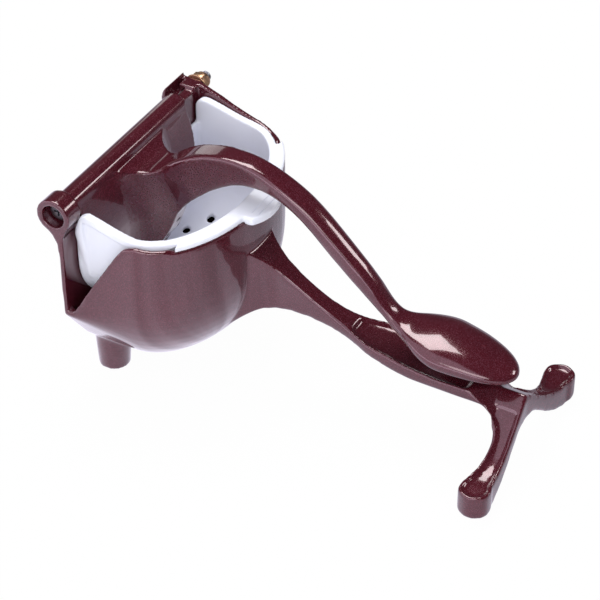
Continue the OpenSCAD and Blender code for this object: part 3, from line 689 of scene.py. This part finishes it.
@dataclass
class HingeHardware:
    """The long hinge screw with its washer, lock nut and locking ring.

    A rounding is a row of points, each given by how far it lies inside the outer radius
    and how far from the end face.
    """

    steel: bpy.types.Material
    zinc: bpy.types.Material
    nylon: bpy.types.Material
    shank_r_mm: float = 2.0
    head_r_mm: float = 3.9
    head_t_mm: float = 2.0
    head_rounding_mm: tuple[Span, ...] = ((1.2, 0.02), (0.5, 0.15), (0.12, 0.45), (0.0, 0.8))
    head_edge_mm: float = 0.15
    neck_mm: Span = (0.2, 0.25)
    recess_l_mm: float = 4.4
    recess_w_mm: float = 0.9
    recess_depth_mm: float = 1.1
    recess_taper: float = 0.7
    pitch_mm: float = 0.7
    rings_per_turn: int = 8
    groove_slope: float = 1.25
    run_out_turns: float = 2.0
    thread_depth_mm: float = 0.36
    thread_l_mm: float = 12.0
    thread_stop_mm: float = 0.03
    point_mm: float = 0.5
    point_rounding_mm: tuple[Span, ...] = ((0.45, 0.06), (0.6, 0.0))
    washer_r_mm: float = 4.5
    washer_hole_r_mm: float = 2.15
    washer_edge_mm: float = 0.14
    washer_roll: float = 1.6
    across_flats_mm: float = 7.0
    hex_h_mm: float = 3.2
    hex_bevel_mm: float = 0.14
    chamfer_r_mm: Span = (0.05, 0.7)
    chamfer_h_mm: Span = (0.1, 0.5)
    collar_r_mm: float = 3.3
    collar_sunk_mm: float = 0.4
    collar_rounding_mm: tuple[Span, ...] = ((0.0, 0.8), (0.12, 0.4), (0.4, 0.1), (0.65, 0.0))
    ring_r_mm: float = 2.4
    ring_t_mm: float = 1.4
    ring_edges_mm: Span = (0.12, 0.1)

    @staticmethod
    def _span(node: str) -> Span:
        """Where a CAD node starts and ends along the hinge, in millimetres."""
        low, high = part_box(node)
        return low[1] / MM, high[1] / MM

    def _cut_thread(self, screw: bpy.types.Object, start: float, end: float) -> None:
        """Winds the thread's groove round the end of the screw.

        Args:
            screw: The turned screw.
            start: Where the thread starts along the hinge, in millimetres.
            end: Where it ends.
        """
        for vertex in screw.data.vertices:
            along = vertex.co.y / MM
            across = Vector((vertex.co.x - HINGE.x, 0.0, vertex.co.z - HINGE.z))
            radius = across.length / MM
            if radius < POLE_MM or not start < along < end:
                continue
            turn = math.atan2(across.z, across.x) / (2 * math.pi)
            phase = (along / self.pitch_mm - turn) % 1.0
            groove = 1 - abs(2 * phase - 1) * self.groove_slope
            run_out = min(1.0, (along - start) / (self.run_out_turns * self.pitch_mm))
            depth = self.thread_depth_mm * max(0.0, groove) * run_out
            share = min(1.0, (self.shank_r_mm - depth) / radius)
            vertex.co.x = HINGE.x + across.x * share
            vertex.co.z = HINGE.z + across.z * share

    def _sink_recess(self, screw: bpy.types.Object, start: float) -> None:
        """Sinks the cross recess into the screw's head, one arm at a time.

        Args:
            screw: The turned screw.
            start: Where the head's face lies along the hinge, in millimetres.
        """
        length, width = self.recess_l_mm, self.recess_w_mm
        for half in ((length / 2, width / 2), (width / 2, length / 2)):
            tool = Bench.block((HINGE.x / MM - half[0], start - CLEAR_MM,
                                HINGE.z / MM - half[1]),
                               (HINGE.x / MM + half[0], start + self.recess_depth_mm,
                                HINGE.z / MM + half[1]))
            for vertex in tool.data.vertices:
                if vertex.co.y > start * MM:
                    vertex.co.x = HINGE.x + (vertex.co.x - HINGE.x) * self.recess_taper
                    vertex.co.z = HINGE.z + (vertex.co.z - HINGE.z) * self.recess_taper
            Bench.carve(screw, tool)

    def screw(self) -> bpy.types.Object:
        """Turns the screw, winds its thread, sinks its cross recess and returns it."""
        start, end = self._span("hinge_screw")
        seat = start + self.head_t_mm
        head, shank, edge = self.head_r_mm, self.shank_r_mm, self.head_edge_mm
        thread_from = end - self.thread_l_mm
        ring = self.pitch_mm / self.rings_per_turn
        rings = round((self.thread_l_mm - self.point_mm) / ring)
        outline = [(0, start)]
        outline += [(head - inset, start + drop) for inset, drop in self.head_rounding_mm]
        outline += [(head, seat - edge), (head - edge, seat), (shank + self.neck_mm[0], seat),
                    (shank, seat + self.neck_mm[1])]
        outline += [(shank, thread_from + i * self.pitch_mm / self.rings_per_turn)
                    for i in range(rings)]
        outline.append((shank, end - self.point_mm))
        outline += [(shank - inset, end - drop) for inset, drop in self.point_rounding_mm]
        outline.append((0, end))
        piece = Bench.turned("hinge_screw_threaded", outline)
        self._cut_thread(piece, thread_from, end - self.thread_stop_mm)
        self._sink_recess(piece, start)
        Bench.edged(piece)
        Bench.finish(piece, Body.STAND, self.steel, Slot.BRIGHT_ZINC, "hinge_screw")
        return piece

    def washer(self) -> bpy.types.Object:
        """Stamps the washer, with its edges broken, and returns it."""
        start, end = self._span("hinge_washer")
        inner, outer, edge = self.washer_hole_r_mm, self.washer_r_mm, self.washer_edge_mm
        roll = edge * self.washer_roll
        piece = Bench.turned("hinge_washer_stamped", [
            (inner + edge, start), (outer - edge, start), (outer, start + edge),
            (outer, end - roll), (outer - roll, end), (inner + edge, end),
            (inner, end - edge), (inner, start + edge)], ring=True)
        Bench.edged(piece)
        Bench.finish(piece, Body.STAND, self.zinc, Slot.YELLOW_ZINC, "hinge_washer")
        return piece

    def _hexagon(self, start: float, top: float) -> bpy.types.Object:
        """Makes the nut's hexagon, with broken edges and chamfered corners.

        Args:
            start: Where it starts along the hinge, in millimetres.
            top: Where it ends.

        Returns:
            The hexagon.
        """
        half = self.across_flats_mm / 2
        flat_angle = math.radians(30)
        Bench.clear()
        bpy.ops.mesh.primitive_cylinder_add(
            vertices=6, radius=half / math.cos(flat_angle) * MM, depth=self.hex_h_mm * MM,
            location=(HINGE.x, (start + top) / 2 * MM, HINGE.z),
            rotation=(math.radians(90), flat_angle, 0))
        piece = bpy.context.object
        piece.name = "hinge_nut_locking"
        bpy.ops.object.transform_apply(location=True, rotation=True, scale=True)
        Bench.apply(piece, "BEVEL", width=self.hex_bevel_mm * MM, segments=2,
                    limit_method="NONE")
        narrow, wide = (half + r for r in self.chamfer_r_mm)
        over, under = self.chamfer_h_mm
        Bench.carve(piece, Bench.turned("nut_chamfer", [
            (0, start - over), (narrow, start - over), (wide, start + under),
            (wide, top - under), (narrow, top + over), (0, top + over)]), Meeting.CROSS)
        return piece

    def nut(self) -> bpy.types.Object:
        """Makes the lock nut, hexagon, rolled collar and stepped bore, and returns it."""
        start, end = self._span("hinge_nut")
        top = start + self.hex_h_mm
        piece = self._hexagon(start, top)
        collar, foot = self.collar_r_mm, top - self.collar_sunk_mm
        outline = [(0, foot), (collar, foot)]
        outline += [(collar - inset, end - drop) for inset, drop in self.collar_rounding_mm]
        outline.append((0, end))
        Bench.carve(piece, Bench.turned("nut_collar", outline), Meeting.JOIN)
        ledge = end - self.ring_t_mm
        Bench.carve(piece, Bench.turned("nut_bore", [
            (0, start - CLEAR_MM), (self.shank_r_mm, start - CLEAR_MM),
            (self.shank_r_mm, ledge), (self.ring_r_mm, ledge),
            (self.ring_r_mm, end + CLEAR_MM), (0, end + CLEAR_MM)]))
        Bench.edged(piece)
        Bench.finish(piece, Body.STAND, self.zinc, Slot.YELLOW_ZINC, "hinge_nut")
        return piece

    def lock_ring(self) -> bpy.types.Object:
        """Moulds the nylon ring that grips the thread and returns it."""
        start, end = self._span("nut_lock_ring")
        inner, outer = self.shank_r_mm, self.ring_r_mm
        inner_edge, outer_edge = self.ring_edges_mm
        piece = Bench.turned("nut_lock_ring_moulded", [
            (inner, start), (outer, start), (outer, end - outer_edge),
            (outer - outer_edge, end), (inner + inner_edge, end), (inner, end - inner_edge)],
            ring=True)
        Bench.edged(piece)
        Bench.finish(piece, Body.STAND, self.nylon, Slot.NYLON, "nut_lock_ring")
        return piece

    def build(self) -> list[bpy.types.Object]:
        """Makes every piece of the hinge and returns them."""
        return [self.screw(), self.washer(), self.nut(), self.lock_ring()]


# ------------------------------------------------------------------ studio


@dataclass(frozen=True)
class SoftBox:
    """One soft box, turned to the object: its place and size in metres, and its power.

    One that is only for gloss shows in reflections and lights nothing.
    """

    name: str
    place: Point
    size: Span
    watts: float
    only_gloss: bool = False


@dataclass
class Studio:
    """Plain white sweep, soft lamps and the camera.

    The tints and spreads named for gloss are what polished faces mirror, and those named
    for fill are what lights the object evenly.
    """

    camera_place: Point = (0.32038, -0.5934, 0.56175)
    camera_turn: Point = (52.0, 0.0, 29.09)
    sensor_mm: float = 36.0
    lens_mm: float = 142.3
    sweep_m: float = 8.0
    # the sweep lies this far under the feet, so that the two don't flicker
    sweep_drop_m: float = 0.0002
    paper: Colour = (0.8, 0.8, 0.8, 1.0)
    glow_share: float = 0.98
    gloss_tint: Colour = (1.0, 0.95, 1.12, 1.0)
    gloss_across: Point = (-0.45, -0.89, 0.0)
    # the sweep's glow in reflections fades towards the back: painted shade
    gloss_painted_shade: Spread = (-0.07, 0.05, 0.4, 1.05)
    cup_centre: Point = (-0.045, -0.003, 0.0)
    bands_per_radian: float = 2.6
    band_spread: Spread = (0.3, 0.7, 0.78, 1.22)
    wall_side: Point = (-0.39, -0.83, 0.4)
    ceiling_tint: Colour = (0.03, 0.03, 0.035, 1.0)
    dusk_tint: Colour = (0.04, 0.04, 0.05, 1.0)
    wall_edge: Span = (0.53, 0.62)
    wall_heights: Spread = (0.14, 0.28, 2.6, 1.1)
    fill_side: Point = (-0.05, -0.8, 0.6)
    fill_tint: Point = (0.93, 0.945, 1.0)
    fill_levels: Spread = (0.0, 1.0, 0.08, 1.45)
    aim: Point = (0.0, 0.0, 0.04)
    boxes: tuple[SoftBox, ...] = (
        SoftBox("key_softbox", (-0.293, 0.314, 1.05), (0.56, 0.56), 7.2),
        SoftBox("key_softbox_face", (-0.294, 0.315, 1.054), (0.56, 0.56), 0.6, True),
        SoftBox("fill_softbox", (0.42, -0.9, 0.66), (0.7, 0.4), 2.7),
        SoftBox("barrel_card", (-0.735, 0.761, 0.303), (0.14, 0.38), 0.17, True),
        SoftBox("edge_strip", (0.714, 0.665, 0.548), (0.30, 0.17), 1.2),
    )

    def camera(self) -> None:
        """Sets up the camera, aimed for a 600 by 600 frame that is not set here."""
        data = bpy.data.cameras.new("camera")
        data.sensor_width = self.sensor_mm
        data.lens = self.lens_mm
        eye = bpy.data.objects.new("camera", data)
        eye.location = self.camera_place
        eye.rotation_euler = [math.radians(a) for a in self.camera_turn]
        bpy.context.scene.collection.objects.link(eye)
        bpy.context.scene.camera = eye

    def _sweep_gloss(self, tree: bpy.types.NodeTree) -> bpy.types.NodeSocket:
        """Works out how bright each spot of the sweep is in gloss.

        Args:
            tree: The sweep's node tree.

        Returns:
            The socket that carries the brightness.
        """
        place = add_node(tree, "ShaderNodeTexCoord")
        # in reflections the sweep glows, bright on the near side and darker towards the back:
        # painted shade
        across = add_node(tree, "ShaderNodeVectorMath", {1: self.gloss_across},
                          {0: place.outputs["Object"]}, operation="DOT_PRODUCT")
        dim = add_node(tree, "ShaderNodeMapRange", dict(enumerate(self.gloss_painted_shade, 1)),
                       {0: across.outputs["Value"]})
        # painted reflections: soft upright bands of light and shade, which round walls mirror
        away = add_node(tree, "ShaderNodeVectorMath", {1: self.cup_centre},
                        {0: place.outputs["Object"]}, operation="SUBTRACT")
        apart = add_node(tree, "ShaderNodeSeparateXYZ", links={0: away.outputs[0]})
        bearing = add_node(tree, "ShaderNodeMath", links={0: apart.outputs["Y"],
                           1: apart.outputs["X"]}, operation="ARCTAN2")
        bands = add_node(tree, "ShaderNodeTexNoise", {"Scale": self.bands_per_radian,
                         "Detail": 2.0}, {"W": bearing.outputs[0]}, noise_dimensions="1D")
        painted_bands = add_node(tree, "ShaderNodeMapRange", dict(enumerate(self.band_spread, 1)),
                          {0: bands.outputs["Fac"]})
        banded = add_node(tree, "ShaderNodeMath", links={0: dim.outputs[0],
                          1: painted_bands.outputs[0]}, operation="MULTIPLY")
        return banded.outputs[0]

    def sweep(self) -> None:
        """Lays a pale floor that shows white and keeps the object's shadow."""
        Bench.clear()
        bpy.ops.mesh.primitive_plane_add(size=self.sweep_m, location=(0, 0, -self.sweep_drop_m))
        floor = bpy.context.object
        floor.name = "studio_floor"
        material, tree = new_material("studio_paper")
        path = add_node(tree, "ShaderNodeLightPath")
        clear = add_node(tree, "ShaderNodeMath", links={0: path.outputs["Is Camera Ray"],
                         1: path.outputs["Is Transmission Ray"]}, operation="MAXIMUM")
        seen = add_node(tree, "ShaderNodeMath", links={0: clear.outputs[0],
                        1: path.outputs["Is Glossy Ray"]}, operation="MAXIMUM")
        paper = add_node(tree, "ShaderNodeBsdfDiffuse", {"Color": self.paper})
        bright = add_node(tree, "ShaderNodeMix", {3: 1.0}, {0: clear.outputs[0],
                          2: self._sweep_gloss(tree)})
        tone = add_node(tree, "ShaderNodeMix", {6: self.gloss_tint, 7: WHITE},
                        {0: clear.outputs[0]}, data_type="RGBA")
        glow = add_node(tree, "ShaderNodeEmission", links={"Color": tone.outputs[2],
                        "Strength": bright.outputs[0]})
        share = add_node(tree, "ShaderNodeMath", {1: self.glow_share}, {0: seen.outputs[0]},
                         operation="MULTIPLY")
        mix = add_node(tree, "ShaderNodeMixShader", links={0: share.outputs[0],
                       1: paper.outputs[0], 2: glow.outputs[0]})
        add_node(tree, "ShaderNodeOutputMaterial", links={"Surface": mix.outputs[0]})
        floor.data.materials.append(material)

    def _mirrored(self, tree: bpy.types.NodeTree,
                  towards: bpy.types.NodeSocket) -> bpy.types.NodeSocket:
        """Works out what polished faces mirror: a bright wall and a dark room over it.

        Args:
            tree: The surround's node tree.
            towards: The direction looked in.

        Returns:
            The socket that carries the colour.
        """
        facing = add_node(tree, "ShaderNodeVectorMath", {1: self.wall_side}, {0: towards},
                          operation="DOT_PRODUCT")
        gloss = add_node(tree, "ShaderNodeValToRGB", links={"Fac": facing.outputs["Value"]})
        ramp_stops(gloss, [(0.0, self.ceiling_tint), (self.wall_edge[0], self.dusk_tint),
                           (self.wall_edge[1], self.gloss_tint)])
        height = add_node(tree, "ShaderNodeSeparateXYZ", links={0: towards})
        band = add_node(tree, "ShaderNodeMapRange", dict(enumerate(self.wall_heights, 1)),
                        {0: height.outputs["Z"]})
        wall = add_node(tree, "ShaderNodeVectorMath", links={0: gloss.outputs["Color"],
                        3: band.outputs[0]}, operation="SCALE")
        return wall.outputs[0]

    def _filled(self, tree: bpy.types.NodeTree,
                towards: bpy.types.NodeSocket) -> bpy.types.NodeSocket:
        """Works out the soft cool light that fills in from the front.

        Args:
            tree: The surround's node tree.
            towards: The direction looked in.

        Returns:
            The socket that carries the colour.
        """
        front = add_node(tree, "ShaderNodeVectorMath", {1: self.fill_side}, {0: towards},
                         operation="DOT_PRODUCT")
        level = add_node(tree, "ShaderNodeMapRange", dict(enumerate(self.fill_levels, 1)),
                         {0: front.outputs["Value"]})
        fill = add_node(tree, "ShaderNodeVectorMath", {0: self.fill_tint},
                        {3: level.outputs[0]}, operation="SCALE")
        return fill.outputs[0]

    def surround(self) -> None:
        """Gives a surround that is white where it is seen, and soft light from it."""
        world = bpy.data.worlds.new("studio_surround")
        world.use_nodes = True
        tree = world.node_tree
        tree.nodes.clear()
        path = add_node(tree, "ShaderNodeLightPath")
        seen = add_node(tree, "ShaderNodeMath", links={0: path.outputs["Is Camera Ray"],
                        1: path.outputs["Is Transmission Ray"]}, operation="MAXIMUM")
        towards = add_node(tree, "ShaderNodeTexCoord").outputs["Generated"]
        soft = add_node(tree, "ShaderNodeMix", links={0: path.outputs["Is Glossy Ray"],
                        6: self._filled(tree, towards), 7: self._mirrored(tree, towards)},
                        data_type="RGBA")
        tone = add_node(tree, "ShaderNodeMix", {7: WHITE},
                        {0: seen.outputs[0], 6: soft.outputs[2]}, data_type="RGBA")
        back = add_node(tree, "ShaderNodeBackground", {"Strength": 1.0},
                        {"Color": tone.outputs[2]})
        add_node(tree, "ShaderNodeOutputWorld", links={"Surface": back.outputs[0]})
        bpy.context.scene.world = world

    def lamp(self, box: SoftBox) -> None:
        """Hangs one soft box.

        Args:
            box: The soft box to hang.
        """
        data = bpy.data.lights.new(box.name, "AREA")
        data.shape = "RECTANGLE"
        data.size, data.size_y = box.size
        data.energy = box.watts
        hung = bpy.data.objects.new(box.name, data)
        hung.location = box.place
        towards = Vector(self.aim) - Vector(box.place)
        hung.rotation_euler = towards.to_track_quat("-Z", "Y").to_euler()
        hung.visible_diffuse = not box.only_gloss
        bpy.context.scene.collection.objects.link(hung)

    def build(self) -> None:
        """Sets up the camera, floor, surround and lamps."""
        self.camera()
        self.sweep()
        self.surround()
        for box in self.boxes:
            self.lamp(box)
        bpy.context.scene.view_settings.view_transform = "Standard"


# ------------------------------------------------------------------ main


def report(piece: bpy.types.Object) -> None:
    """Logs a finished piece and how many triangles it has."""
    triangles = sum(len(face.vertices) - 2 for face in piece.data.polygons)
    LOG.info("%s: %d triangles", piece.name, triangles)


def main() -> None:
    """Builds the object and its studio in order."""
    logging.basicConfig(level=logging.INFO, format="%(name)s: %(message)s")
    enamel = FlakeEnamel().build()
    plastic = MouldedPolypropylene().build()
    steel = PlatedSteel("bright_zinc_steel", "#a9abae", "#85878b", 0.34).build()
    zinc = PlatedSteel("yellow_zinc_steel", "#dfb795", "#c0926e", 0.36).build()
    nylon = NylonRing().build()
    pieces = [StandCasting(enamel).build(), LeverCasting(enamel).build(),
              StrainerCup(plastic).build(), *HingeHardware(steel, zinc, nylon).build()]
    for piece in pieces:
        report(piece)
    Studio().build()


if __name__ == "__main__":
    main()
